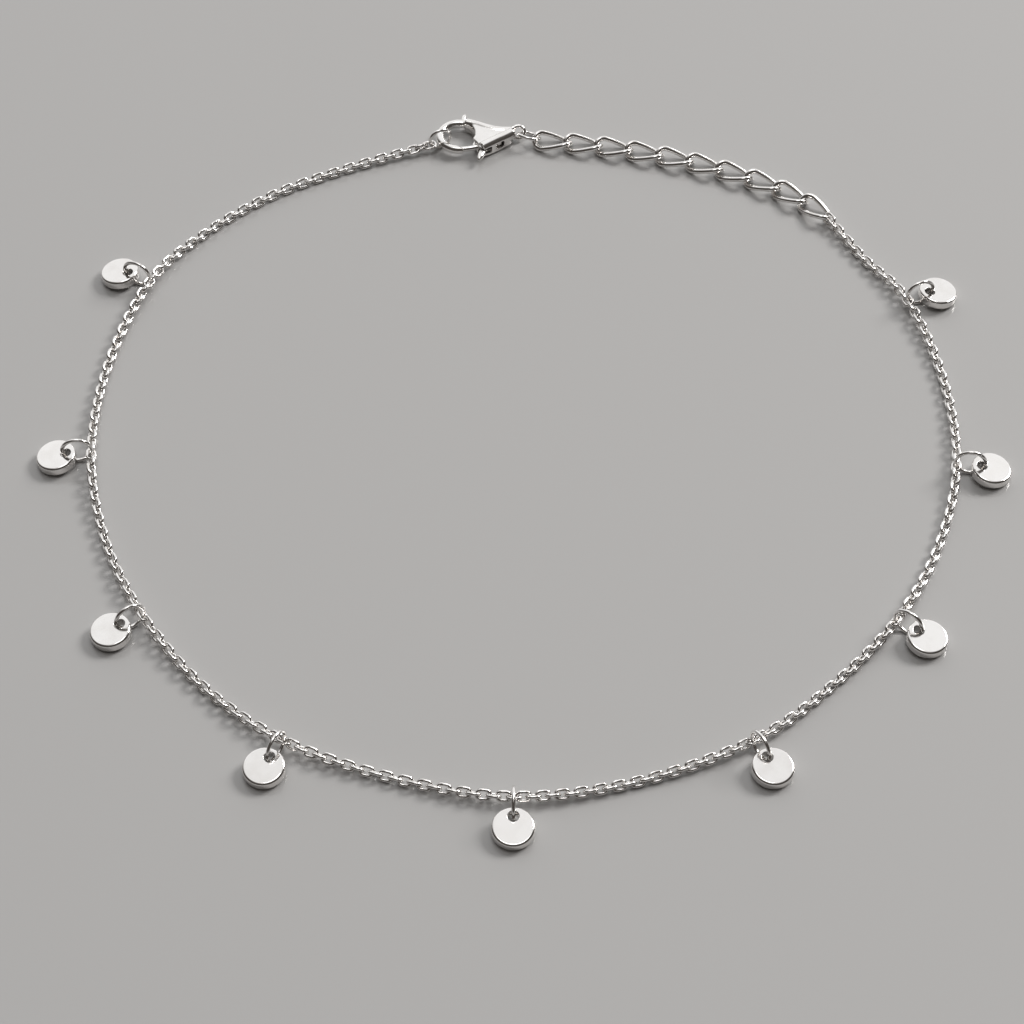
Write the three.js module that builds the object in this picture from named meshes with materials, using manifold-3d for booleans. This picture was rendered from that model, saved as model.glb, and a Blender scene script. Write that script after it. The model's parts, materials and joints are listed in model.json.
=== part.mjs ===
// Silver charm anklet laid out as a closed loop, in millimetres, +Z up, lying on z = 0.
// Nine round discs hang from jump rings on a fine cable chain. A curb extender and a
// lobster clasp close the loop at the back.

import * as THREE from 'three';
import { mergeVertices } from 'three/addons/utils/BufferGeometryUtils.js';
import Module from 'manifold-3d';

const wasm = await Module();
wasm.setup();

const UP = new THREE.Vector3(0, 0, 1);
const WELD = 1e-4;
const rad = THREE.MathUtils.degToRad;

// How finely round wire and round pieces are cut
const WIRE_SIDES = 6;
const LOOP_SIDES = 14;
const BAR_SIDES = 8;
const DISC_SIDES = 14;
const NUB_SIDES = 12;
const NUB_BANDS = 8;
const EDGE_STEPS = 2;

// How routes bend through their rows, and how finely their length is measured
const ROUTE_TENSION = 0.5;
const ROUTE_DIVISIONS = 100;

// Moves the loop so that the middle of its outline is over the origin
const LOOP_SHIFT = { x: 0.11, y: 1.412 };

// The chain's axis in plan and its height, from the clasp round the front to the extender
const ROUTE = [
  { x: -9.93, y: 40.6, z: 0.8 },
  { x: -18.4, y: 37.4, z: 0.5 },
  { x: -26.2, y: 33.3, z: 0.5 },
  { x: -33.0, y: 27.5, z: 0.5 },
  { x: -38.0, y: 20.3, z: 0.86, charm: true },
  { x: -41.3, y: 8.9, z: 0.5 },
  { x: -41.8, y: -2.9, z: 0.86, charm: true },
  { x: -39.6, y: -13.2, z: 0.5 },
  { x: -35.2, y: -22.7, z: 0.86, charm: true },
  { x: -29.1, y: -30.6, z: 0.5 },
  { x: -21.5, y: -36.8, z: 0.86, charm: true },
  { x: -11.6, y: -40.6, z: 0.5 },
  { x: -1.0, y: -42.8, z: 0.86, charm: true },
  { x: 9.8, y: -41.0, z: 0.5 },
  { x: 20.3, y: -36.8, z: 0.86, charm: true },
  { x: 27.6, y: -30.7, z: 0.5 },
  { x: 34.2, y: -23.3, z: 0.86, charm: true },
  { x: 38.9, y: -14.4, z: 0.5 },
  { x: 41.6, y: -4.4, z: 0.86, charm: true },
  { x: 41.5, y: 6.8, z: 0.5 },
  { x: 38.8, y: 17.7, z: 0.86, charm: true },
  { x: 34.9, y: 24.0, z: 0.5 },
  { x: 31.66, y: 29.51, z: 0.76 },
];

// Fine cable chain: one link, the larger link at each end, the round stretch that stands for
// a run of links, the half length left open where a ring passes, and the links' rolls there
const LINK = { length: 1.55, width: 1.1, wire: 0.28 };
const END_LINK = { length: 1.75, width: 1.35, wire: 0.28 };
const RUN = { width: 1.0, open: 0.5, steps: 8 };
const LINK_ROLL = { charm: -27, clasp: 0, extender: -46 };

// Charm rings stand on edge across the chain; the discs lean on them
const CHARM_RING = { radius: 1.45, wire: 0.32, reach: 1.28 };
const DISC = { radius: 1.9, thick: 1.0, edge: 0.24, tilt: 7.8 };
const DISC_HOLE = { radius: 0.52, edge: 0.12, at: 1.0, reach: 2.35 };

// Curb extender: twisted oval links along a shallow bend
const EXTENDER = { count: 10, pitch: 3.28, start: 1.245, length: 4.42, width: 2.5, wire: 0.52 };
const EXTENDER_TWIST = -88;
const EXTENDER_ROUTE = [
  { x: 1.9, y: 41.45, z: 0.7 },
  { x: 9.8, y: 40.25, z: 0.7 },
  { x: 17.6, y: 38.15, z: 0.7 },
  { x: 24.4, y: 35.35, z: 0.7 },
  { x: 29.1, y: 32.25, z: 0.7 },
  { x: 32.2, y: 28.9, z: 0.7 },
];

// Rings at the two ends of the clasp
const TAIL_RING = { radius: 1.18, wire: 0.36, x: 0.666, y: 42.01, z: 0.864, heading: -25.3, roll: -31 };
const HOOK_RING = { radius: 1.15, wire: 0.36, reach: 2.1, heading: 202 };

// Lobster clasp, drawn with its hook round the origin and its tail along +X
const CLASP = { x: -6.8, y: 41.85, turn: 6.2, middle: 0.9, thick: 1.5, round: 0.35 };
const HOOK = { radius: 2.0, bar: 0.9, from: 15, to: 276, steps: 22 };
const MOUTH = { gap: 0.12, cut: 1.2, deep: 2, lean: 45 };
const BODY_EDGE = [
  [0.9, 2.1],
  [1.8, 1.7],
  [2.7, 1.15],
  [3.7, 0.6],
  [4.7, 0.25],
  [5.6, 0.2],
  [5.6, -0.8],
  [4.6, -1.6],
  [3.6, -2.15],
  [2.7, -2.55],
  [2.0, -2.65],
  [1.75, -1.9],
  [1.35, -0.95],
  [1.62, -0.29],
  [1.59, 0.43],
  [1.3, 1.02],
  [0.83, 1.43],
];

// Rounded strands along the far and the near edge of the clasp's body
const FAR_STRAND = { width: 1.0, z: 1.15, steps: 8 };
const FAR_LINE = [
  [0.9, 1.8],
  [1.9, 1.35],
  [3.0, 0.7],
  [4.3, 0.15],
  [5.7, -0.05],
];
const NEAR_STRAND = { width: 1.2, z: 1.2, steps: 8 };
const NEAR_LINE = [
  [2.2, -2.3],
  [3.0, -1.85],
  [4.0, -1.3],
  [5.0, -0.8],
  [5.7, -0.35],
];

const EYE = { x: 6.35, radius: 0.66, wire: 0.42, roll: 42 };
const SPUR = { x: 0.8, y: 2.6, turn: 75, long: 0.72, wide: 0.34, high: 0.4 };
const SLOT = { high: 0.76, hub: 0.7 };
const SLOT_EDGE = [
  [4.0, -0.28],
  [1.1, 0],
  [1.1, -3.4],
  [3.05, -3.4],
  [3.4, -1.75],
  [3.8, -1.6],
  [3.8, -2.8],
  [4.8, -2.8],
  [4.6, -1.1],
];
const PIN = { x: 4.0, y: -1.0, radius: 0.26, high: 1.1, sides: 16 };
const LEVER = { width: 0.62, z: CLASP.middle, hub: 0.58, hole: 0.34, steps: 14 };
const LEVER_LINE = [
  [4.0, -1.0],
  [3.2, -1.35],
  [2.4, -1.65],
  [1.6, -1.85],
  [0.8, -1.96],
  [0.17, -1.99],
  [-0.3, -1.98],
];
const KNOB = { x: 2.15, y: -2.85, turn: 65, long: 1.1, wide: 0.38, high: 0.31 };

const silver = new THREE.MeshStandardMaterial({ color: 0xd9d6d2, roughness: 0.12, metalness: 1 });
const oldSilver = new THREE.MeshStandardMaterial({ color: 0xcbc7c1, roughness: 0.2, metalness: 1 });

/** A closed body that can be joined and cut. */
function bodyOf(geometry) {
  const bare = geometry.clone();
  bare.deleteAttribute('normal');
  bare.deleteAttribute('uv');
  const welded = mergeVertices(bare, WELD);
  const vertProperties = Float32Array.from(welded.attributes.position.array);
  const triVerts = Uint32Array.from(welded.index.array);
  return new wasm.Manifold(new wasm.Mesh({ numProp: 3, vertProperties, triVerts }));
}

/** The surface of a finished body. */
function geometryOf(body) {
  const mesh = body.getMesh();
  const geometry = new THREE.BufferGeometry();
  geometry.setAttribute('position', new THREE.BufferAttribute(Float32Array.from(mesh.vertProperties), 3));
  geometry.setIndex(new THREE.BufferAttribute(Uint32Array.from(mesh.triVerts), 1));
  geometry.computeVertexNormals();
  return geometry;
}

/** A named piece in polished silver. */
function piece(name, geometry, material = silver) {
  const mesh = new THREE.Mesh(geometry, material);
  mesh.name = name;
  return mesh;
}

/** A curve through the rows of a route. */
function curveOf(route) {
  const points = route.map(({ x, y, z }) => new THREE.Vector3(x, y, z));
  const curve = new THREE.CatmullRomCurve3(points, false, 'catmullrom', ROUTE_TENSION);
  curve.arcLengthDivisions = ROUTE_DIVISIONS * (points.length - 1);
  return curve;
}

/** Part of a longer curve, between two lengths along it. */
class Stretch extends THREE.Curve {
  constructor(whole, from, to) {
    super();
    this.whole = whole;
    this.from = from / whole.getLength();
    this.to = to / whole.getLength();
  }

  getPoint(t, target = new THREE.Vector3()) {
    return this.whole.getPointAt(THREE.MathUtils.lerp(this.from, this.to, t), target);
  }
}

/** A round bar along a path. */
function bar(path, width, steps) {
  const corners = [];
  for (let i = 0; i < BAR_SIDES; i += 1) {
    const angle = (2 * Math.PI * (i + 0.5)) / BAR_SIDES;
    corners.push(new THREE.Vector2(Math.cos(angle), Math.sin(angle)).multiplyScalar(width / 2));
  }
  const shape = new THREE.Shape(corners);
  return new THREE.ExtrudeGeometry(shape, { steps, bevelEnabled: false, extrudePath: path });
}

/** A round body through the points of a table, level at one height. */
function levelBar(table, { width, z, steps }) {
  const points = table.map(([x, y]) => new THREE.Vector3(x, y, z));
  return bodyOf(bar(new THREE.CatmullRomCurve3(points), width, steps));
}

/** A wire loop in the XY plane, longest along X, twisted about X by an angle from end to end. */
function wireLoop({ length, width, wire }, twist = 0) {
  const loop = new THREE.TorusGeometry((width - wire) / 2, wire / 2, WIRE_SIDES, LOOP_SIDES);
  const at = new THREE.Vector3();
  const { position } = loop.attributes;
  for (let i = 0; i < position.count; i += 1) {
    at.fromBufferAttribute(position, i);
    at.x += (Math.sign(at.x) * (length - width)) / 2;
    at.applyAxisAngle(new THREE.Vector3(1, 0, 0), (rad(twist) * at.x) / length);
    position.setXYZ(i, at.x, at.y, at.z);
  }
  return loop;
}

/** A round jump ring in the XY plane. */
function jumpRing({ radius, wire }) {
  const across = 2 * radius + wire;
  return wireLoop({ length: across, width: across, wire });
}

/** Turns X along a direction with Y level, rolls about X, and moves to a point. */
function placing(at, along, roll) {
  const x = along.clone().normalize();
  const y = new THREE.Vector3().crossVectors(UP, x).normalize();
  const z = new THREE.Vector3().crossVectors(x, y);
  const turn = new THREE.Matrix4().makeBasis(x, y, z);
  turn.multiply(new THREE.Matrix4().makeRotationX(rad(roll)));
  return turn.setPosition(at);
}

/** Puts a piece in place by a matrix. */
function put(mesh, matrix) {
  matrix.decompose(mesh.position, mesh.quaternion, mesh.scale);
  return mesh;
}

/** A small rounded nub. */
function nub({ x, y, turn, long, wide, high }) {
  const ball = new THREE.SphereGeometry(1, NUB_SIDES, NUB_BANDS);
  ball.scale(long, wide, high);
  ball.rotateZ(rad(turn));
  return ball.translate(x, y, CLASP.middle);
}

/** The fine chain: round runs of links joined by open links where rings pass through. */
function fineChain() {
  const route = curveOf(ROUTE);
  const lengths = route.getLengths();
  const rows = ROUTE.map((row, i) => ({ ...row, along: lengths[i * ROUTE_DIVISIONS] }));
  const holds = [
    { ...rows[0], link: END_LINK, roll: LINK_ROLL.clasp },
    ...rows.filter((row) => row.charm).map((row) => ({ ...row, link: LINK, roll: LINK_ROLL.charm })),
    { ...rows[rows.length - 1], link: END_LINK, roll: LINK_ROLL.extender },
  ];
  let chain = null;
  holds.forEach((hold, i) => {
    const tangent = route.getTangentAt(hold.along / route.getLength());
    const at = new THREE.Vector3(hold.x, hold.y, hold.z);
    const link = wireLoop(hold.link).applyMatrix4(placing(at, tangent, hold.roll));
    chain = chain ? chain.add(bodyOf(link)) : bodyOf(link);
    if (i === 0) {
      return;
    }
    const run = new Stretch(route, holds[i - 1].along + RUN.open, hold.along - RUN.open);
    chain = chain.add(bodyOf(bar(run, RUN.width, RUN.steps)));
  });
  return piece('fine_chain', geometryOf(chain), oldSilver);
}

/** A flat round disc with rounded edges and a hole near its rim, in its own middle plane. */
function discGeometry() {
  const { radius, thick, edge } = DISC;
  const disc = new THREE.ExtrudeGeometry(new THREE.Shape().absarc(0, 0, radius, 0, 2 * Math.PI), {
    depth: thick - 2 * edge,
    bevelThickness: edge,
    bevelSize: edge,
    bevelOffset: -edge,
    bevelSegments: EDGE_STEPS,
    curveSegments: DISC_SIDES,
  });
  disc.translate(0, 0, edge - thick / 2);
  const sides = 2 * DISC_SIDES;
  const wide = DISC_HOLE.radius + 2 * DISC_HOLE.edge;
  const drill = new THREE.CylinderGeometry(DISC_HOLE.radius, DISC_HOLE.radius, 2 * thick, sides);
  const flare = new THREE.CylinderGeometry(wide, DISC_HOLE.radius, 2 * DISC_HOLE.edge, sides);
  flare.translate(0, thick / 2, 0);
  const hole = bodyOf(drill)
    .add(bodyOf(flare))
    .add(bodyOf(flare.clone().rotateX(Math.PI)))
    .rotate([90, 0, 0])
    .translate([-DISC_HOLE.at, 0, 0]);
  return geometryOf(bodyOf(disc).subtract(hole));
}

/** Ring and disc at each place where a charm hangs, pointing away from the loop. */
function charms() {
  const route = curveOf(ROUTE);
  const tilt = rad(DISC.tilt);
  const stands = DISC.edge
    + (DISC.radius - DISC.edge) * Math.sin(tilt)
    + (DISC.thick / 2 - DISC.edge) * Math.cos(tilt);
  const ring = jumpRing(CHARM_RING).rotateX(Math.PI / 2);
  const disc = discGeometry();
  const all = new THREE.Group();
  ROUTE.forEach((row, i) => {
    if (!row.charm) {
      return;
    }
    const number = all.children.length + 1;
    const tangent = route.getTangent(i / (ROUTE.length - 1));
    const charm = new THREE.Group();
    charm.position.set(row.x, row.y, 0);
    charm.rotation.z = Math.atan2(-tangent.x, tangent.y);
    const hoop = piece(`charm_ring_${number}`, ring);
    hoop.position.set(CHARM_RING.reach, 0, CHARM_RING.radius + CHARM_RING.wire / 2);
    const tag = piece(`charm_disc_${number}`, disc);
    tag.position.set(DISC_HOLE.reach + DISC_HOLE.at * Math.cos(tilt), 0, stands);
    tag.rotation.y = tilt;
    charm.add(hoop, tag);
    all.add(charm);
  });
  return all;
}

/** The curb links of the extender, each twisted the same way. */
function extender() {
  const route = curveOf(EXTENDER_ROUTE);
  const link = wireLoop(EXTENDER, EXTENDER_TWIST);
  const links = new THREE.Group();
  for (let i = 0; i < EXTENDER.count; i += 1) {
    const share = (EXTENDER.start + i * EXTENDER.pitch) / route.getLength();
    const place = placing(route.getPointAt(share), route.getTangentAt(share), 0);
    links.add(put(piece(`extender_link_${i + 1}`, link), place));
  }
  return links;
}

/** The claw: hook, body with its strands, the lever's slot and pin, tail eye and finger spur. */
function claspBody() {
  const arc = [];
  for (let i = 0; i <= HOOK.steps; i += 1) {
    const angle = rad(THREE.MathUtils.lerp(HOOK.from, HOOK.to, i / HOOK.steps));
    arc.push(new THREE.Vector3(HOOK.radius * Math.cos(angle), HOOK.radius * Math.sin(angle), CLASP.middle));
  }
  const hook = bodyOf(bar(new THREE.CatmullRomCurve3(arc), HOOK.bar, HOOK.steps));

  const outline = new THREE.Shape(BODY_EDGE.map(([x, y]) => new THREE.Vector2(x, y)));
  const plate = new THREE.ExtrudeGeometry(outline, {
    depth: CLASP.thick - 2 * CLASP.round,
    bevelThickness: CLASP.round,
    bevelSize: CLASP.round,
    bevelOffset: -CLASP.round,
    bevelSegments: EDGE_STEPS,
  });
  plate.translate(0, 0, CLASP.round);

  const slotShape = new THREE.Shape(SLOT_EDGE.map(([x, y]) => new THREE.Vector2(x, y)));
  const slot = new THREE.ExtrudeGeometry(slotShape, { depth: SLOT.high, bevelEnabled: false });
  slot.translate(0, 0, CLASP.middle - SLOT.high / 2);
  const hub = cylinder(SLOT.hub, SLOT.high);

  const eye = new THREE.TorusGeometry(EYE.radius, EYE.wire / 2, WIRE_SIDES, LOOP_SIDES);
  eye.rotateX(rad(EYE.roll)).translate(EYE.x, 0, CLASP.middle);

  return bodyOf(plate)
    .add(levelBar(FAR_LINE, FAR_STRAND))
    .add(levelBar(NEAR_LINE, NEAR_STRAND))
    .subtract(bodyOf(slot))
    .subtract(bodyOf(hub))
    .add(hook.subtract(mouthBlock(1)))
    .add(bodyOf(eye))
    .add(bodyOf(nub(SPUR)))
    .add(bodyOf(cylinder(PIN.radius, PIN.high)));
}

/** An upright cylinder on the lever's axis. */
function cylinder(radius, high) {
  const round = new THREE.CylinderGeometry(radius, radius, high, PIN.sides);
  return round.rotateX(Math.PI / 2).translate(PIN.x, PIN.y, CLASP.middle);
}

/** The block that trims one side of the slanted joint between hook and lever. */
function mouthBlock(side) {
  const block = new THREE.BoxGeometry(MOUTH.cut, MOUTH.deep, MOUTH.deep);
  block.translate(side * (MOUTH.cut / 2 - MOUTH.gap / 2), 0, CLASP.middle);
  block.rotateZ(rad(MOUTH.lean));
  return bodyOf(block.translate(0, -HOOK.radius, 0));
}

/** The sprung lever: hub on the pin, gate along the hook's circle, thumb knob. */
function claspLever() {
  return levelBar(LEVER_LINE, LEVER)
    .subtract(mouthBlock(-1))
    .add(bodyOf(cylinder(LEVER.hub, LEVER.width)))
    .add(bodyOf(nub(KNOB)))
    .subtract(bodyOf(cylinder(LEVER.hole, CLASP.thick)));
}

/** The clasp with the ring in its tail and the chain's ring in its hook. */
function clasp() {
  const claw = new THREE.Group();
  claw.position.set(CLASP.x, CLASP.y, 0);
  claw.rotation.z = rad(CLASP.turn);
  claw.add(piece('clasp_body', geometryOf(claspBody())));
  claw.add(piece('clasp_lever', geometryOf(claspLever())));

  const tail = piece('tail_ring', jumpRing(TAIL_RING));
  const along = new THREE.Vector3(1, 0, 0).applyAxisAngle(UP, rad(TAIL_RING.heading));
  put(tail, placing(new THREE.Vector3(TAIL_RING.x, TAIL_RING.y, TAIL_RING.z), along, TAIL_RING.roll));

  const hooked = piece('chain_end_ring', jumpRing(HOOK_RING).rotateX(Math.PI / 2));
  const heading = rad(HOOK_RING.heading);
  hooked.position.set(
    CLASP.x + HOOK_RING.reach * Math.cos(heading),
    CLASP.y + HOOK_RING.reach * Math.sin(heading),
    HOOK_RING.radius + HOOK_RING.wire / 2,
  );
  hooked.rotation.z = heading;

  const all = new THREE.Group();
  all.add(claw, tail, hooked);
  return all;
}

const anklet = new THREE.Group();
anklet.name = 'charm_anklet';
anklet.add(fineChain(), charms(), extender(), clasp());
anklet.position.set(LOOP_SHIFT.x, LOOP_SHIFT.y, 0);

export default anklet;
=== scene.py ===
"""Dresses the charm anklet: a fine cable chain with disc charms, a curb extender and a lobster clasp.

Every piece is modelled in millimetres and degrees about its own middle, then set in its place in the
frame's metres.
"""

import json
import logging
import math
import random
from bisect import bisect_right
from dataclasses import dataclass, field
from enum import Enum
from typing import Callable, Iterable

import bpy
from mathutils import Matrix, Vector


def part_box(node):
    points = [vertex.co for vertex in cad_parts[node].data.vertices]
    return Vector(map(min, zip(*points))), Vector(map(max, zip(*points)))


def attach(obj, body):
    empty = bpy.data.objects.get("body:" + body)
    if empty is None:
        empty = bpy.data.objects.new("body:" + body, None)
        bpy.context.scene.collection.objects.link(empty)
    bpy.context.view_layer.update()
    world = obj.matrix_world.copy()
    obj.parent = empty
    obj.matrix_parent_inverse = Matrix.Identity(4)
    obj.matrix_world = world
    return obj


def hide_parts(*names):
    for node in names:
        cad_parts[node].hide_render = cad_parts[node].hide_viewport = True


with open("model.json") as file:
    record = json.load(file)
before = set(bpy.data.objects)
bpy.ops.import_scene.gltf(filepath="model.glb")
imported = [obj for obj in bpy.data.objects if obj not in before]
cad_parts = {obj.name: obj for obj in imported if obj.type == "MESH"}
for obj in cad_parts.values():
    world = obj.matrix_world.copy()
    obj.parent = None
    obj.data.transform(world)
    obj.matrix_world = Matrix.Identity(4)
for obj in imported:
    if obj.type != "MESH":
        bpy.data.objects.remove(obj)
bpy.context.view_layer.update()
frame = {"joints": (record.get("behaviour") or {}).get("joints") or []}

LOG = logging.getLogger("charm_anklet")
MM = 0.001
TINY = 1e-4
UP = Vector((0.0, 0.0, 1.0))
UPRIGHT = Matrix.Rotation(math.pi / 2, 4, "X")
# From the middle of the drawn routes to the frame's origin, in millimetres
ROUTE_SHIFT = Vector((0.11, 1.412, 0.0))


class Body(Enum):
    """The bodies that the pieces ride on."""

    ANKLET = "anklet"
    LEVER = "lever"


class Slot(Enum):
    """The record's material slots."""

    CHAIN = "chain_silver"
    CHARM = "charm_silver"
    RING = "ring_silver"
    CLASP = "clasp_silver"


class Knot(Enum):
    """How a drawn curve goes through its points."""

    SMOOTH = "AUTO"
    SHARP = "VECTOR"


# Small modelling steps


def linear(hex_colour: str) -> tuple[float, float, float, float]:
    """Turns an sRGB hex colour to linear values.

    Args:
        hex_colour: Six hex digits.

    Returns:
        Red, green, blue and alpha.
    """
    parts = [int(hex_colour[i:i + 2], 16) / 255 for i in (0, 2, 4)]
    toe, slope, offset, power = 0.04045, 12.92, 0.055, 2.4
    values = [c / slope if c <= toe else ((c + offset) / (1 + offset)) ** power for c in parts]
    return values[0], values[1], values[2], 1.0


def select_only(*objects: bpy.types.Object) -> None:
    """Selects a few objects alone.

    Args:
        *objects: The objects, the first of them made active.
    """
    bpy.ops.object.select_all(action="DESELECT")
    for obj in objects:
        obj.select_set(True)
    bpy.context.view_layer.objects.active = objects[0]


def made() -> bpy.types.Object:
    """Finds what the last operator added and selects it alone.

    Returns:
        The added object.
    """
    obj = bpy.context.view_layer.objects.active
    select_only(obj)
    return obj


def edit_vertices(obj: bpy.types.Object, test: Callable[[Vector], bool]) -> None:
    """Enters edit mode with the vertices that pass a test selected.

    Args:
        obj: The mesh object.
        test: Takes a vertex's place and says whether it is selected.
    """
    select_only(obj)
    bpy.ops.object.mode_set(mode="EDIT")
    bpy.ops.mesh.select_all(action="DESELECT")
    bpy.ops.object.mode_set(mode="OBJECT")
    for vertex in obj.data.vertices:
        vertex.select = test(vertex.co)
    bpy.ops.object.mode_set(mode="EDIT")
    bpy.ops.mesh.select_mode(type="VERT")


def leave_edit() -> None:
    """Goes back to object mode."""
    bpy.ops.object.mode_set(mode="OBJECT")


def apply_modifier(obj: bpy.types.Object, kind: str, **settings: object) -> None:
    """Adds one modifier, sets it and applies it.

    Args:
        obj: The mesh object.
        kind: The modifier's type.
        **settings: Its properties.
    """
    select_only(obj)
    modifier = obj.modifiers.new(kind.lower(), kind)
    for key, value in settings.items():
        setattr(modifier, key, value)
    bpy.ops.object.modifier_apply(modifier=modifier.name)


def cut(obj: bpy.types.Object, cutter: bpy.types.Object) -> None:
    """Takes one closed shape out of another and removes it."""
    apply_modifier(obj, "BOOLEAN", operation="DIFFERENCE", object=cutter, solver="EXACT")
    bpy.data.objects.remove(cutter)


def bake_transform(*objects: bpy.types.Object) -> None:
    """Moves the objects' places into their meshes."""
    select_only(*objects)
    bpy.ops.object.transform_apply(location=True, rotation=True, scale=True)


def join(*objects: bpy.types.Object) -> bpy.types.Object:
    """Joins meshes into one.

    Args:
        *objects: The mesh objects, which all go into the first.

    Returns:
        The joined object.
    """
    bake_transform(*objects)
    select_only(*objects)
    bpy.ops.object.join()
    return made()


def copy_at(source: bpy.types.Object, matrix: Matrix) -> bpy.types.Object:
    """Copies an object with a mesh of its own.

    Args:
        source: The object to copy.
        matrix: Where the copy goes.

    Returns:
        The copy.
    """
    copy = source.copy()
    copy.data = source.data.copy()
    copy.matrix_world = matrix
    bpy.context.scene.collection.objects.link(copy)
    return copy


def drawn_curve(
    points: Iterable[tuple[float, float]], closed: bool, knots: Knot = Knot.SMOOTH
) -> bpy.types.Object:
    """Draws a curve through points in the XY plane.

    Args:
        points: The places it passes through.
        closed: Whether it ends where it starts.
        knots: How it goes through the points.

    Returns:
        The curve object.
    """
    places = list(points)
    bpy.ops.curve.primitive_bezier_curve_add()
    curve = made()
    spline = curve.data.splines[0]
    spline.bezier_points.add(len(places) - len(spline.bezier_points))
    for knot, (x, y) in zip(spline.bezier_points, places):
        knot.co = (x, y, 0.0)
        knot.handle_left_type = knots.value
        knot.handle_right_type = knots.value
    spline.use_cyclic_u = closed
    return curve


def to_mesh(curve: bpy.types.Object, height: float) -> bpy.types.Object:
    """Turns a curve to a closed mesh and lifts it.

    Args:
        curve: The curve object.
        height: How far it is lifted, in millimetres.

    Returns:
        The mesh object.
    """
    select_only(curve)
    bpy.ops.object.convert(target="MESH")
    mesh = made()
    edit_vertices(mesh, lambda place: True)
    bpy.ops.mesh.remove_doubles(threshold=TINY)
    bpy.ops.mesh.normals_make_consistent(inside=False)
    leave_edit()
    mesh.location.z = height
    bake_transform(mesh)
    return mesh


def shade(obj: bpy.types.Object, sharp_from: float) -> None:
    """Shades an object smooth, apart from edges that turn by more than an angle in degrees."""
    select_only(obj)
    bpy.ops.object.shade_smooth_by_angle(angle=math.radians(sharp_from))


def placing(at: Vector, along: Vector, roll: float) -> Matrix:
    """Turns X along a direction with Y level, rolls about X, and moves to a point.

    Args:
        at: The place, in millimetres.
        along: The direction of X.
        roll: The roll about X, in degrees.

    Returns:
        The placing matrix.
    """
    x = along.normalized()
    y = UP.cross(x).normalized()
    z = x.cross(y)
    turn = Matrix((x, y, z)).transposed().to_4x4()
    return Matrix.Translation(at) @ turn @ Matrix.Rotation(math.radians(roll), 4, "X")


def middle_of(node: str) -> Vector:
    """Returns the middle of a node's box, in millimetres."""
    low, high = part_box(node)
    return (low + high) / (2 * MM)


# Finishes


def add_node(
    tree: bpy.types.NodeTree,
    kind: str,
    values: dict[str | int, object] | None = None,
    links: dict[str | int, bpy.types.NodeSocket] | None = None,
    **settings: object,
) -> bpy.types.Node:
    """Adds one node with its settings, socket values and links.

    Args:
        tree: The material's or the world's node tree.
        kind: The node's type.
        values: Values for its input sockets, by name or number.
        links: Output sockets that feed its inputs, by the input's name or number.
        **settings: The node's own properties.

    Returns:
        The node.
    """
    node = tree.nodes.new(kind)
    for key, value in settings.items():
        setattr(node, key, value)
    for key, value in (values or {}).items():
        node.inputs[key].default_value = value
    for key, socket in (links or {}).items():
        tree.links.new(socket, node.inputs[key])
    return node


@dataclass(frozen=True)
class SterlingSilver:
    """Polished sterling silver: a bright, faintly warm mirror with hairline polishing marks.

    The eye gets white highlights, near-black reflections beside them, and a slightly
    duller, browner film where fingers and polishing wheels do not reach.
    """

    name: str
    colour: str = "F5F3F1"
    film: str = "D0CAC4"
    film_share: float = 0.25
    film_mm: float = 1.6
    film_detail: float = 4.0
    film_from: float = 0.4
    film_full: float = 0.75
    roughness: float = 0.1
    rough_spread: float = 0.08
    # Real polishing marks are far finer: these are as coarse as they need to be to show
    mark_mm: float = 0.14
    mark_stretch: float = 9.0
    mark_detail: float = 2.0
    mark_depth_mm: float = 0.0005
    mark_strength: float = 0.35

    def material(self) -> bpy.types.Material:
        """Builds the material.

        Returns:
            The material.
        """
        material = bpy.data.materials.new(self.name)
        material.use_nodes = True
        tree = material.node_tree
        tree.nodes.clear()
        place = add_node(tree, "ShaderNodeTexCoord").outputs["Object"]
        patches = add_node(
            tree,
            "ShaderNodeTexNoise",
            {"Scale": 1 / (self.film_mm * MM), "Detail": self.film_detail},
            {"Vector": place},
        )
        film = add_node(
            tree,
            "ShaderNodeMapRange",
            {"From Min": self.film_from, "From Max": self.film_full, "To Max": self.film_share},
            {"Value": patches.outputs["Fac"]},
        )
        tint = add_node(
            tree,
            "ShaderNodeMix",
            {"A": linear(self.colour), "B": linear(self.film)},
            {0: film.outputs["Result"]},
            data_type="RGBA",
        )
        dull = add_node(
            tree,
            "ShaderNodeMapRange",
            {"To Min": self.roughness, "To Max": self.roughness + self.rough_spread},
            {"Value": patches.outputs["Fac"]},
        )
        stretched = add_node(
            tree, "ShaderNodeMapping", {"Scale": (1.0, self.mark_stretch, 1.0)}, {"Vector": place}
        )
        marks = add_node(
            tree,
            "ShaderNodeTexNoise",
            {"Scale": 1 / (self.mark_mm * self.mark_stretch * MM), "Detail": self.mark_detail},
            {"Vector": stretched.outputs["Vector"]},
        )
        bump = add_node(
            tree,
            "ShaderNodeBump",
            {"Strength": self.mark_strength, "Distance": self.mark_depth_mm * MM},
            {"Height": marks.outputs["Fac"]},
        )
        shader = add_node(
            tree,
            "ShaderNodeBsdfPrincipled",
            {"Metallic": 1.0},
            {
                "Base Color": tint.outputs[2],
                "Roughness": dull.outputs["Result"],
                "Normal": bump.outputs["Normal"],
            },
        )
        add_node(tree, "ShaderNodeOutputMaterial", links={"Surface": shader.outputs["BSDF"]})
        return material


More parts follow.
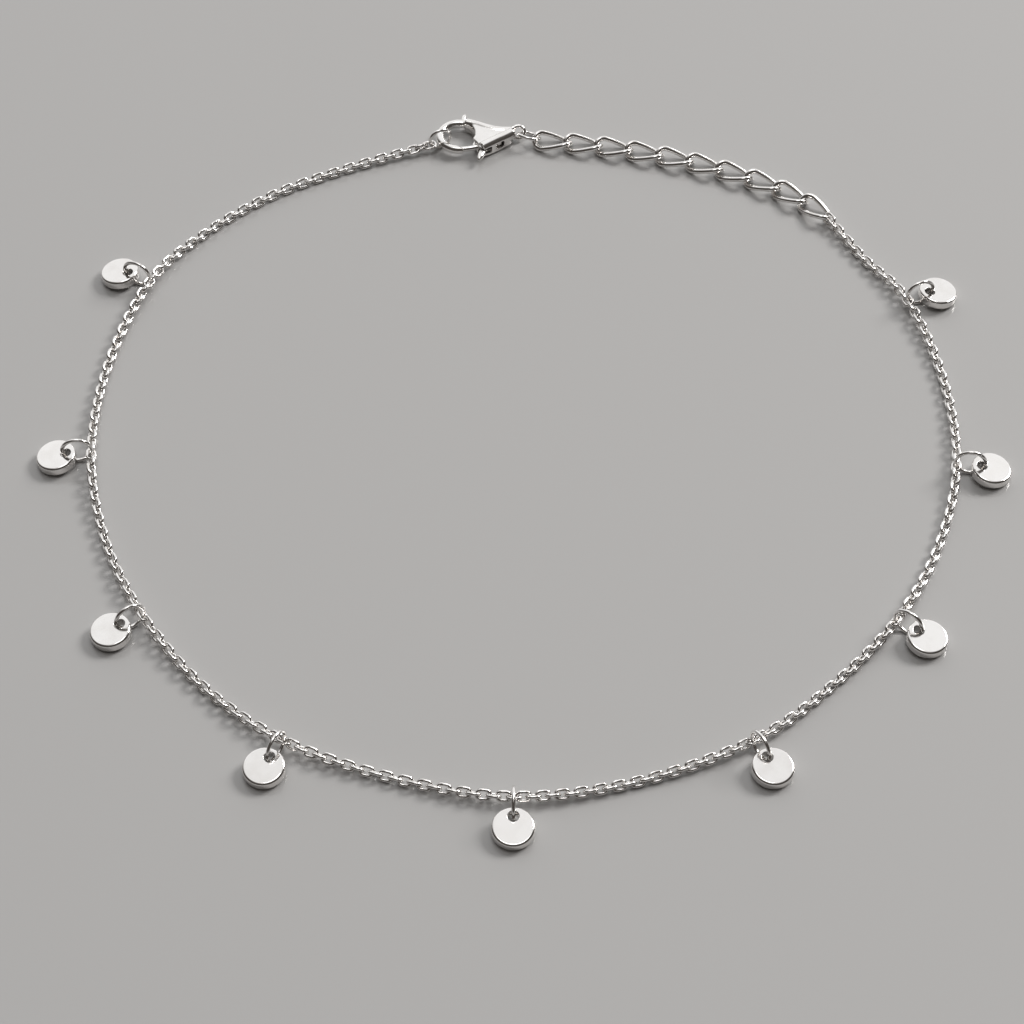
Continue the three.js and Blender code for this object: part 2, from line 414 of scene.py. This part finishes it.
@dataclass(frozen=True)
class SatinPaint:
    """Satin paint, rolled on a flat board: plain pale grey with a soft shine that shows faint reflections."""

    name: str = "satin_grey_paint"
    colour: str = "B9B8B7"
    roughness: float = 0.16

    def material(self) -> bpy.types.Material:
        """Builds the material.

        Returns:
            The material.
        """
        material = bpy.data.materials.new(self.name)
        material.use_nodes = True
        tree = material.node_tree
        tree.nodes.clear()
        shader = add_node(
            tree,
            "ShaderNodeBsdfPrincipled",
            {"Base Color": linear(self.colour), "Roughness": self.roughness},
        )
        add_node(tree, "ShaderNodeOutputMaterial", links={"Surface": shader.outputs["BSDF"]})
        return material


@dataclass(frozen=True)
class Dressing:
    """What a finished piece rides on, its record slot and its material."""

    body: Body
    slot: Slot
    material: bpy.types.Material

    def put_on(self, obj: bpy.types.Object, name: str, place: Matrix, *nodes: str) -> None:
        """Sets a piece in its place, gives it its material, puts it on its body and hides the nodes that it
        stands for.

        Args:
            obj: The piece, modelled in millimetres.
            name: Its name.
            place: Its place, in millimetres.
            *nodes: The solids that it stands for.
        """
        obj.name = name
        obj.data.name = name
        obj.matrix_world = Matrix.Scale(MM, 4) @ place
        bake_transform(obj)
        obj.data.materials.clear()
        obj.data.materials.append(self.material)
        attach(obj, self.body.value)
        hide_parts(*nodes)
        LOG.info("%s: %d faces", name, len(obj.data.polygons))


# Wire loops and the routes they follow


@dataclass(frozen=True)
class WireLoop:
    """Round wire bent to a closed loop with straight sides, twisted about its length.

    The twist is from end to end. Bends and sides count the segments round the loop and round the wire, and
    splits the cuts along half of each straight side.
    """

    length: float
    width: float
    gauge: float
    twist: float = 0.0
    bends: int = 48
    sides: int = 12
    splits: int = 0

    def model(self) -> bpy.types.Object:
        """Models the loop in the XY plane, longest along X.

        Returns:
            The loop.
        """
        bpy.ops.mesh.primitive_torus_add(
            major_radius=(self.width - self.gauge) / 2,
            minor_radius=self.gauge / 2,
            major_segments=self.bends,
            minor_segments=self.sides,
        )
        loop = made()
        spread = (self.length - self.width) / 2
        if spread > TINY:
            for side in (1, -1):
                edit_vertices(loop, lambda place: place.x * side > TINY)
                bpy.ops.transform.translate(value=(side * spread, 0.0, 0.0))
                leave_edit()
        for i in range(self.splits):
            share = (i + 1) / (self.splits + 1)
            for side in (1, -1):
                edit_vertices(loop, lambda place: True)
                bpy.ops.mesh.bisect(plane_co=(side * spread * share, 0.0, 0.0), plane_no=(1.0, 0.0, 0.0))
                leave_edit()
        if self.twist:
            apply_modifier(
                loop, "SIMPLE_DEFORM", deform_method="TWIST", deform_axis="X", angle=math.radians(self.twist)
            )
        select_only(loop)
        bpy.ops.object.shade_smooth()
        return loop


@dataclass
class Route:
    """A smooth way through rows of x, y and height, in millimetres."""

    rows: list[Vector]
    fineness: int = 60
    lengths: list[float] = field(init=False)

    def __post_init__(self) -> None:
        """Measures the way."""
        steps = (len(self.rows) - 1) * self.fineness
        samples = [self.point(i / self.fineness) for i in range(steps + 1)]
        self.lengths = [0.0]
        for before, after in zip(samples, samples[1:]):
            self.lengths.append(self.lengths[-1] + (after - before).length)

    def point(self, row: float) -> Vector:
        """Finds the place at a row, or between two rows.

        Args:
            row: The row's number, with a part of one between rows.

        Returns:
            The place.
        """
        last = len(self.rows) - 1
        i = min(int(row), last - 1)
        t = row - i
        b, c = self.rows[i], self.rows[i + 1]
        a = self.rows[i - 1] if i > 0 else 2 * b - c
        d = self.rows[i + 2] if i + 2 <= last else 2 * c - b
        leaving, arriving = (c - a) / 2, (d - b) / 2
        return (
            b
            + leaving * t
            + (3 * (c - b) - 2 * leaving - arriving) * t ** 2
            + (2 * (b - c) + leaving + arriving) * t ** 3
        )

    def length_at(self, row: int) -> float:
        """Returns the length along the way at a row."""
        return self.lengths[row * self.fineness]

    def at(self, length: float) -> tuple[Vector, Vector]:
        """Finds a place along the way.

        Args:
            length: How far along, in millimetres.

        Returns:
            The place and the direction there.
        """
        low = min(bisect_right(self.lengths, length), len(self.lengths) - 1) - 1
        step = self.lengths[low + 1] - self.lengths[low]
        share = (length - self.lengths[low]) / step
        row = (low + share) / self.fineness
        ahead = self.point(min(row + TINY, len(self.rows) - 1.0))
        behind = self.point(max(row - TINY, 0.0))
        return self.point(row), (ahead - behind).normalized()


# Sub-assemblies


@dataclass
class CableChain:
    """The fine cable chain: small oval links, each turned a quarter from the last.

    Away from its ends each stretch rolls over to lie on the surface, the sooner the larger settle is, and its
    links lie a little unevenly, by up to jitter.
    """

    link: WireLoop = WireLoop(length=1.58, width=1.18, gauge=0.34, bends=14, sides=6)
    end_link: WireLoop = WireLoop(length=1.75, width=1.35, gauge=0.32, bends=14, sides=6)
    pitch: float = 0.91
    lying_roll: float = -49.0
    settle: float = 3.0
    jitter: float = 4.0
    seed: int = 11
    # x, y, height, and the roll of the link there where something passes through it
    rows: tuple[tuple[float, float, float, float | None], ...] = (
        (-9.93, 40.6, 0.8, 0.0),
        (-18.4, 37.4, 0.5, None),
        (-26.2, 33.3, 0.5, None),
        (-33.0, 27.5, 0.5, None),
        (-38.0, 20.3, 0.86, -27.0),
        (-41.3, 8.9, 0.5, None),
        (-41.8, -2.9, 0.86, -27.0),
        (-39.6, -13.2, 0.5, None),
        (-35.2, -22.7, 0.86, -27.0),
        (-29.1, -30.6, 0.5, None),
        (-21.5, -36.8, 0.86, -27.0),
        (-11.6, -40.6, 0.5, None),
        (-1.0, -42.8, 0.86, -27.0),
        (9.8, -41.0, 0.5, None),
        (20.3, -36.8, 0.86, -27.0),
        (27.6, -30.7, 0.5, None),
        (34.2, -23.3, 0.86, -27.0),
        (38.9, -14.4, 0.5, None),
        (41.6, -4.4, 0.86, -27.0),
        (41.5, 6.8, 0.5, None),
        (38.8, 17.7, 0.86, -27.0),
        (34.9, 24.0, 0.5, None),
        (31.66, 29.51, 0.76, -46.0),
    )

    def placings(self) -> list[Matrix]:
        """Works out where every link lies.

        Returns:
            The links' places in order.
        """
        route = Route([Vector(row[:3]) + ROUTE_SHIFT for row in self.rows])
        holds = [(route.length_at(i), row[3]) for i, row in enumerate(self.rows) if row[3] is not None]
        chance = random.Random(self.seed)
        places = []
        for (start, roll), (end, next_roll) in zip(holds, holds[1:]):
            count = 2 * math.ceil((end - start) / (2 * self.pitch))
            for i in range(count):
                share = i / count
                ends = roll * (1 - share) + next_roll * share
                lying = min(1.0, self.settle * math.sin(math.pi * share))
                turn = ends * (1 - lying) + self.lying_roll * lying
                turn += 90.0 * (i % 2) + chance.uniform(-self.jitter, self.jitter) * lying
                at, along = route.at(start + (end - start) * share)
                places.append(placing(at, along, turn))
        at, along = route.at(holds[-1][0])
        places.append(placing(at, along, holds[-1][1]))
        return places

    def build(self, dressing: Dressing) -> None:
        """Models one link, copies it all the way round and joins the copies.

        Args:
            dressing: The chain's dressing.
        """
        first, *rest, last = self.placings()
        links = []
        for loop, places in ((self.link, rest), (self.end_link, (first, last))):
            link = loop.model()
            links += [copy_at(link, place) for place in places]
            bpy.data.objects.remove(link)
        LOG.info("%d cable links", len(links))
        chain = join(*links)
        dressing.put_on(chain, "cable_chain", Matrix.Identity(4), "fine_chain")


@dataclass
class DiscCharms:
    """Plain round discs with softened edges, each on a jump ring that stands across the chain."""

    count: int = 9
    ring: WireLoop = WireLoop(length=3.22, width=3.22, gauge=0.36, bends=56, sides=14)
    radius: float = 1.94
    thick: float = 1.0
    edge: float = 0.24
    hole_radius: float = 0.52
    hole_edge: float = 0.05
    hole_at: float = 1.0
    tilt: float = 7.8
    sides: int = 96
    hole_sides: int = 48
    edge_steps: int = 5
    hole_edge_steps: int = 3
    bevel_from: float = 60.0
    sharp_from: float = 35.0

    def round_edges(self, disc: bpy.types.Object, width: float, steps: int) -> None:
        """Rounds every sharp edge.

        Args:
            disc: The disc.
            width: The rounding's width.
            steps: Its number of facets.
        """
        limit = math.radians(self.bevel_from)
        apply_modifier(disc, "BEVEL", width=width, segments=steps, limit_method="ANGLE", angle_limit=limit)

    def disc(self) -> bpy.types.Object:
        """Models one disc in its own middle plane, the hole towards -X.

        Returns:
            The disc.
        """
        bpy.ops.mesh.primitive_cylinder_add(vertices=self.sides, radius=self.radius, depth=self.thick)
        disc = made()
        self.round_edges(disc, self.edge, self.edge_steps)
        bpy.ops.mesh.primitive_cylinder_add(
            vertices=self.hole_sides,
            radius=self.hole_radius,
            depth=2 * self.thick,
            location=(-self.hole_at, 0.0, 0.0),
        )
        cut(disc, made())
        self.round_edges(disc, self.hole_edge, self.hole_edge_steps)
        shade(disc, self.sharp_from)
        apply_modifier(disc, "WEIGHTED_NORMAL", keep_sharp=True)
        return disc

    def build(self, ring_dressing: Dressing, disc_dressing: Dressing) -> None:
        """Models one ring and one disc and copies them to every charm's place.

        Args:
            ring_dressing: The jump rings' dressing.
            disc_dressing: The discs' dressing.
        """
        ring = self.ring.model()
        disc = self.disc()
        lean = Matrix.Rotation(math.radians(self.tilt), 4, "Y")
        for number in range(1, self.count + 1):
            ring_node, disc_node = f"charm_ring_{number}", f"charm_disc_{number}"
            outward = middle_of(disc_node) - middle_of(ring_node)
            heading = Matrix.Rotation(math.atan2(outward.y, outward.x), 4, "Z")
            hoop = copy_at(ring, Matrix.Identity(4))
            tag = copy_at(disc, Matrix.Identity(4))
            ring_place = Matrix.Translation(middle_of(ring_node)) @ heading @ UPRIGHT
            disc_place = Matrix.Translation(middle_of(disc_node)) @ heading @ lean
            ring_dressing.put_on(hoop, f"charm_jump_ring_{number}", ring_place, ring_node)
            disc_dressing.put_on(tag, f"disc_charm_{number}", disc_place, disc_node)
        bpy.data.objects.remove(ring)
        bpy.data.objects.remove(disc)


@dataclass
class CurbExtender:
    """The extender: twisted oval links that lie over each other along a shallow bend."""

    count: int = 10
    pitch: float = 3.28
    start: float = 1.245
    height: float = 0.7
    link: WireLoop = WireLoop(length=4.42, width=2.5, gauge=0.56, twist=-88.0, sides=14, splits=5)
    rows: tuple[tuple[float, float], ...] = (
        (1.9, 41.45),
        (9.8, 40.25),
        (17.6, 38.15),
        (24.4, 35.35),
        (29.1, 32.25),
        (32.2, 28.9),
    )

    def build(self, dressing: Dressing) -> None:
        """Models one link and copies it along the bend.

        Args:
            dressing: The extender's dressing.
        """
        link = self.link.model()
        route = Route([Vector((x, y, self.height)) + ROUTE_SHIFT for x, y in self.rows])
        for i in range(self.count):
            at, along = route.at(self.start + i * self.pitch)
            copy = copy_at(link, Matrix.Identity(4))
            dressing.put_on(copy, f"curb_link_{i + 1}", placing(at, along, 0.0), f"extender_link_{i + 1}")
        bpy.data.objects.remove(link)


@dataclass
class EndRings:
    """The two jump rings beside the clasp."""

    tail: WireLoop = WireLoop(length=2.72, width=2.72, gauge=0.36, bends=56, sides=14)
    tail_heading: float = -25.3
    tail_roll: float = -31.0
    hooked: WireLoop = WireLoop(length=2.66, width=2.66, gauge=0.36, bends=56, sides=14)
    hooked_heading: float = 202.0

    def build(self, dressing: Dressing) -> None:
        """Models both rings where the frame has them.

        Args:
            dressing: The rings' dressing.
        """
        heading = math.radians(self.tail_heading)
        along = Vector((math.cos(heading), math.sin(heading), 0.0))
        place = placing(middle_of("tail_ring"), along, self.tail_roll)
        dressing.put_on(self.tail.model(), "tail_jump_ring", place, "tail_ring")

        turn = Matrix.Rotation(math.radians(self.hooked_heading), 4, "Z")
        place = Matrix.Translation(middle_of("chain_end_ring")) @ turn @ UPRIGHT
        dressing.put_on(self.hooked.model(), "end_jump_ring", place, "chain_end_ring")


@dataclass(frozen=True)
class Nub:
    """A small rounded nub: its place, its turn in degrees, and its half sizes."""

    x: float
    y: float
    turn: float
    long: float
    wide: float
    high: float
    segments: int = 32
    rings: int = 20

    def model(self, z: float) -> bpy.types.Object:
        """Models the nub.

        Args:
            z: The height of its middle.

        Returns:
            The nub.
        """
        bpy.ops.mesh.primitive_uv_sphere_add(segments=self.segments, ring_count=self.rings, radius=1.0)
        ball = made()
        ball.scale = (self.long, self.wide, self.high)
        ball.rotation_euler.z = math.radians(self.turn)
        ball.location = (self.x, self.y, z)
        bake_transform(ball)
        return ball


@dataclass(frozen=True)
class Strand:
    """A round bar, level at one height, through a few points."""

    width: float
    z: float
    line: tuple[tuple[float, float], ...]
    roundness: int = 6

    def model(self) -> bpy.types.Object:
        """Models the bar.

        Returns:
            The bar.
        """
        curve = drawn_curve(self.line, closed=False)
        curve.data.bevel_depth = self.width / 2
        curve.data.bevel_resolution = self.roundness
        curve.data.use_fill_caps = True
        return to_mesh(curve, self.z)


@dataclass
class LobsterClasp:
    """A cast lobster clasp: hook, hollowed body, tail eye, finger spur and a sprung lever."""

    turn: float = 6.2
    middle: float = 0.9
    thick: float = 1.5
    round_edge: float = 0.35
    edge_steps: int = 4
    hook_radius: float = 2.0
    hook_bar: float = 0.9
    hook_from: float = 15.0
    hook_to: float = 276.0
    hook_sides: int = 24
    hook_steps: int = 64
    mouth_gap: float = 0.12
    mouth_cut: float = 1.2
    mouth_deep: float = 2.0
    mouth_lean: float = 45.0
    eye: WireLoop = WireLoop(length=1.74, width=1.74, gauge=0.42, bends=40, sides=14)
    eye_x: float = 6.35
    eye_roll: float = 42.0
    spur: Nub = Nub(0.8, 2.6, 75.0, 0.72, 0.34, 0.4)
    far_strand: Strand = Strand(
        1.0, 1.15, ((0.9, 1.8), (1.9, 1.35), (3.0, 0.7), (4.3, 0.15), (5.7, -0.05))
    )
    near_strand: Strand = Strand(
        1.2, 1.2, ((2.2, -2.3), (3.0, -1.85), (4.0, -1.3), (5.0, -0.8), (5.7, -0.35))
    )
    pin_x: float = 4.0
    pin_y: float = -1.0
    pin_radius: float = 0.26
    pin_high: float = 1.1
    post_sides: int = 48
    slot_high: float = 0.76
    slot_hub: float = 0.7
    gate: Strand = Strand(
        0.62,
        0.9,
        ((4.0, -1.0), (3.2, -1.35), (2.4, -1.65), (1.6, -1.85), (0.8, -1.96), (0.17, -1.99), (-0.3, -1.98)),
    )
    knob: Nub = Nub(2.15, -2.85, 65.0, 1.1, 0.38, 0.31)
    lever_hub: float = 0.58
    lever_hole: float = 0.34
    voxel: float = 0.05
    smoothing: int = 12
    smooth_share: float = 0.5
    sharp_from: float = 40.0
    body_edge: tuple[tuple[float, float], ...] = (
        (0.9, 2.1),
        (1.8, 1.7),
        (2.7, 1.15),
        (3.7, 0.6),
        (4.7, 0.25),
        (5.6, 0.2),
        (5.6, -0.8),
        (4.6, -1.6),
        (3.6, -2.15),
        (2.7, -2.55),
        (2.0, -2.65),
        (1.75, -1.9),
        (1.35, -0.95),
        (1.62, -0.29),
        (1.59, 0.43),
        (1.3, 1.02),
        (0.83, 1.43),
    )
    slot_edge: tuple[tuple[float, float], ...] = (
        (4.0, -0.28),
        (1.1, 0.0),
        (1.1, -3.4),
        (3.05, -3.4),
        (3.4, -1.75),
        (3.8, -1.6),
        (3.8, -2.8),
        (4.8, -2.8),
        (4.6, -1.1),
    )

    def post(self, radius: float, high: float) -> bpy.types.Object:
        """Models an upright round post on the lever's axis.

        Args:
            radius: Its radius.
            high: Its height.

        Returns:
            The post.
        """
        bpy.ops.mesh.primitive_cylinder_add(
            vertices=self.post_sides,
            radius=radius,
            depth=high,
            location=(self.pin_x, self.pin_y, self.middle),
        )
        post = made()
        bake_transform(post)
        return post

    def mouth_block(self, side: int) -> bpy.types.Object:
        """Models the block that trims one side of the slanted joint between hook and lever.

        Args:
            side: 1 for the hook's side, -1 for the lever's.

        Returns:
            The block.
        """
        bpy.ops.mesh.primitive_cube_add(size=1.0)
        block = made()
        mouth = Matrix.Translation((0.0, -self.hook_radius, 0.0))
        lean = Matrix.Rotation(math.radians(self.mouth_lean), 4, "Z")
        aside = Matrix.Translation((side * (self.mouth_cut - self.mouth_gap) / 2, 0.0, self.middle))
        size = Matrix.Diagonal((self.mouth_cut, self.mouth_deep, self.mouth_deep, 1.0))
        block.matrix_world = mouth @ lean @ aside @ size
        bake_transform(block)
        return block

    def hook(self) -> bpy.types.Object:
        """Models the round hook by spinning its section about the hook's middle.

        Returns:
            The hook.
        """
        bpy.ops.mesh.primitive_circle_add(
            vertices=self.hook_sides,
            radius=self.hook_bar / 2,
            fill_type="NOTHING",
            location=(self.hook_radius, 0.0, self.middle),
            rotation=(math.pi / 2, 0.0, 0.0),
        )
        hook = made()
        bake_transform(hook)
        edit_vertices(hook, lambda place: True)
        bpy.ops.mesh.spin(
            steps=self.hook_steps,
            angle=math.radians(self.hook_to - self.hook_from),
            center=(0.0, 0.0, self.middle),
            axis=(0.0, 0.0, -1.0),
        )
        bpy.ops.mesh.select_all(action="SELECT")
        bpy.ops.mesh.fill_holes(sides=0)
        bpy.ops.mesh.normals_make_consistent(inside=False)
        leave_edit()
        hook.rotation_euler.z = math.radians(self.hook_from)
        bake_transform(hook)
        cut(hook, self.mouth_block(1))
        return hook

    def plate(self) -> bpy.types.Object:
        """Models the body as a smooth outline with rounded edges.

        Returns:
            The body's plate.
        """
        outline = drawn_curve(self.body_edge, closed=True)
        outline.data.dimensions = "2D"
        outline.data.fill_mode = "BOTH"
        outline.data.extrude = self.thick / 2 - self.round_edge
        outline.data.bevel_depth = self.round_edge
        outline.data.offset = -self.round_edge
        outline.data.bevel_resolution = self.edge_steps
        return to_mesh(outline, self.thick / 2)

    def slot(self) -> bpy.types.Object:
        """Models the space that the lever swings in.

        Returns:
            The shape that is cut out.
        """
        outline = drawn_curve(self.slot_edge, closed=True, knots=Knot.SHARP)
        outline.data.dimensions = "2D"
        outline.data.fill_mode = "BOTH"
        outline.data.extrude = self.slot_high / 2
        return to_mesh(outline, self.middle)

    def melt(self, whole: bpy.types.Object) -> None:
        """Gives joined shapes one even skin."""
        apply_modifier(whole, "REMESH", mode="VOXEL", voxel_size=self.voxel)

    def soften(self, whole: bpy.types.Object) -> None:
        """Softens a skin's edges and inner corners, as a casting's are."""
        apply_modifier(whole, "SMOOTH", factor=self.smooth_share, iterations=self.smoothing)

    def body(self) -> bpy.types.Object:
        """Models the claw with the lever's pin.

        Returns:
            The claw.
        """
        eye = self.eye.model()
        eye.rotation_euler.x = math.radians(self.eye_roll)
        eye.location = (self.eye_x, 0.0, self.middle)
        strands = self.far_strand.model(), self.near_strand.model()
        claw = join(self.plate(), *strands, self.hook(), eye, self.spur.model(self.middle))
        self.melt(claw)
        cut(claw, self.slot())
        cut(claw, self.post(self.slot_hub, self.slot_high))
        self.melt(claw)
        self.soften(claw)
        claw = join(claw, self.post(self.pin_radius, self.pin_high))
        shade(claw, self.sharp_from)
        return claw

    def lever(self) -> bpy.types.Object:
        """Models the lever with its hub and thumb knob.

        Returns:
            The lever.
        """
        hub = self.post(self.lever_hub, self.gate.width)
        lever = join(self.gate.model(), self.knob.model(self.middle), hub)
        self.melt(lever)
        self.soften(lever)
        cut(lever, self.mouth_block(-1))
        cut(lever, self.post(self.lever_hole, self.thick))
        shade(lever, self.sharp_from)
        return lever

    def build(self, body_dressing: Dressing, lever_dressing: Dressing) -> None:
        """Models the claw and its lever about the frame's hinge.

        Args:
            body_dressing: The claw's dressing.
            lever_dressing: The lever's dressing.
        """
        hinge = next(joint for joint in frame["joints"] if joint["child"] == Body.LEVER.value)
        turn = Matrix.Rotation(math.radians(self.turn), 4, "Z")
        pin = Vector((self.pin_x, self.pin_y, self.middle))
        place = Matrix.Translation(Vector(hinge["pos_m"]) / MM) @ turn @ Matrix.Translation(-pin)
        body_dressing.put_on(self.body(), "claw_body", place, "clasp_body")
        lever_dressing.put_on(self.lever(), "claw_lever", place, "clasp_lever")


# The studio


def towards(bearing: float, rise: float) -> Vector:
    """Returns a direction from a bearing, clockwise from +Y seen from above, and a rise, in degrees."""
    turn, lift = math.radians(bearing), math.radians(rise)
    return Vector((math.cos(lift) * math.sin(turn), math.cos(lift) * math.cos(turn), math.sin(lift)))


@dataclass(frozen=True)
class SoftBox:
    """A flat soft light that faces the anklet.

    Its direction is a bearing, clockwise from +Y seen from above, and a rise, both in degrees. Its distance,
    width and height are in metres, and its glow is its radiance.
    """

    name: str
    bearing: float
    rise: float
    distance: float
    width: float
    height: float
    glow: float
    colour: str = "FFFFFF"

    def build(self) -> None:
        """Adds the light."""
        away = towards(self.bearing, self.rise)
        bpy.ops.object.light_add(type="AREA", location=away * self.distance)
        lamp = made()
        lamp.name = self.name
        lamp.data.shape = "RECTANGLE"
        lamp.data.size = self.width
        lamp.data.size_y = self.height
        lamp.data.energy = self.glow * math.pi * self.width * self.height
        lamp.data.color = linear(self.colour)[:3]
        lamp.rotation_euler = (-away).to_track_quat("-Z", "Y").to_euler()


@dataclass(frozen=True)
class Patch:
    """A patch of tone about a bearing and a rise, which fades out between two angles from there."""

    colour: str
    bearing: float
    rise: float
    inner: float
    outer: float

    def over(
        self, tree: bpy.types.NodeTree, way: bpy.types.NodeSocket, under: bpy.types.NodeSocket
    ) -> bpy.types.NodeSocket:
        """Lays the patch over another tone.

        Args:
            tree: The world's node tree.
            way: The direction looked in.
            under: The tone that shows around the patch.

        Returns:
            The tone with the patch.
        """
        facing = add_node(
            tree,
            "ShaderNodeVectorMath",
            {1: towards(self.bearing, self.rise)},
            {0: way},
            operation="DOT_PRODUCT",
        )
        share = add_node(
            tree,
            "ShaderNodeMapRange",
            {"From Min": math.cos(math.radians(self.outer)), "From Max": math.cos(math.radians(self.inner))},
            {"Value": facing.outputs["Value"]},
            interpolation_type="SMOOTHSTEP",
        )
        tone = add_node(
            tree,
            "ShaderNodeMix",
            {"B": linear(self.colour)},
            {0: share.outputs["Result"], "A": under},
            data_type="RGBA",
        )
        return tone.outputs[2]


@dataclass(frozen=True)
class Room:
    """A dim room with a bright wall behind and a pale ceiling.

    Polished metal shows them as white beside near-black.
    """

    dim: str = "45413E"
    wall: Patch = Patch("FAFAFA", bearing=0.0, rise=30.0, inner=30.0, outer=66.0)
    ceiling: Patch = Patch("CDCBC9", bearing=0.0, rise=90.0, inner=14.0, outer=31.0)

    def build(self) -> None:
        """Makes the world's light."""
        world = bpy.data.worlds.new("room")
        world.use_nodes = True
        tree = world.node_tree
        tree.nodes.clear()
        way = add_node(tree, "ShaderNodeTexCoord").outputs["Generated"]
        tone = add_node(tree, "ShaderNodeRGB").outputs["Color"]
        tone.default_value = linear(self.dim)
        for patch in (self.ceiling, self.wall):
            tone = patch.over(tree, way, tone)
        light = add_node(tree, "ShaderNodeBackground", links={"Color": tone})
        add_node(tree, "ShaderNodeOutputWorld", links={"Surface": light.outputs["Background"]})
        bpy.context.scene.world = world


@dataclass
class Studio:
    """A plain pale floor, soft lights and the camera.

    The aim and the camera's distance are in millimetres, the floor's side and the camera's near limit
    in metres, and the angles in degrees.
    """

    floor: SatinPaint = SatinPaint()
    floor_side: float = 3.0
    aim: tuple[float, float, float] = (-1.056, -7.99, 0.0)
    elevation: float = 50.0
    distance: float = 286.75
    view_angle: float = 19.33
    near_limit: float = 0.01
    room: Room = Room()
    key: SoftBox = SoftBox("key_panel", 57.0, 38.0, 1.1, 0.38, 0.38, 16.0, "FFFDFB")
    top: SoftBox = SoftBox("top_panel", 0.0, 88.0, 1.1, 0.5, 0.3, 2.6)

    def build(self) -> None:
        """Builds the floor, the lights, the room and the camera."""
        bpy.ops.mesh.primitive_plane_add(size=self.floor_side)
        ground = made()
        ground.name = "floor"
        ground.data.materials.append(self.floor.material())
        self.key.build()
        self.top.build()
        self.room.build()
        bpy.context.scene.view_settings.view_transform = "Standard"

        angle = math.radians(self.elevation)
        back = Vector((0.0, -math.cos(angle), math.sin(angle)))
        bpy.ops.object.camera_add(location=(Vector(self.aim) + back * self.distance) * MM)
        camera = made()
        camera.rotation_euler = (-back).to_track_quat("-Z", "Y").to_euler()
        camera.data.angle = math.radians(self.view_angle)
        camera.data.clip_start = self.near_limit
        bpy.context.scene.camera = camera


def main() -> None:
    """Builds the studio and then every piece of the anklet."""
    logging.basicConfig(level=logging.INFO, format="%(message)s")
    Studio().build()

    chain_silver = SterlingSilver("polished_silver_chain", film_share=0.4).material()
    charm_silver = SterlingSilver("polished_silver_disc", roughness=0.08).material()
    ring_silver = SterlingSilver("polished_silver_wire").material()
    clasp_silver = SterlingSilver("polished_silver_casting", roughness=0.12).material()
    chain = Dressing(Body.ANKLET, Slot.CHAIN, chain_silver)
    charm = Dressing(Body.ANKLET, Slot.CHARM, charm_silver)
    ring = Dressing(Body.ANKLET, Slot.RING, ring_silver)
    claw = Dressing(Body.ANKLET, Slot.CLASP, clasp_silver)
    lever = Dressing(Body.LEVER, Slot.CLASP, clasp_silver)

    CableChain().build(chain)
    DiscCharms().build(ring, charm)
    CurbExtender().build(chain)
    EndRings().build(ring)
    LobsterClasp().build(claw, lever)


if __name__ == "__main__":
    main()
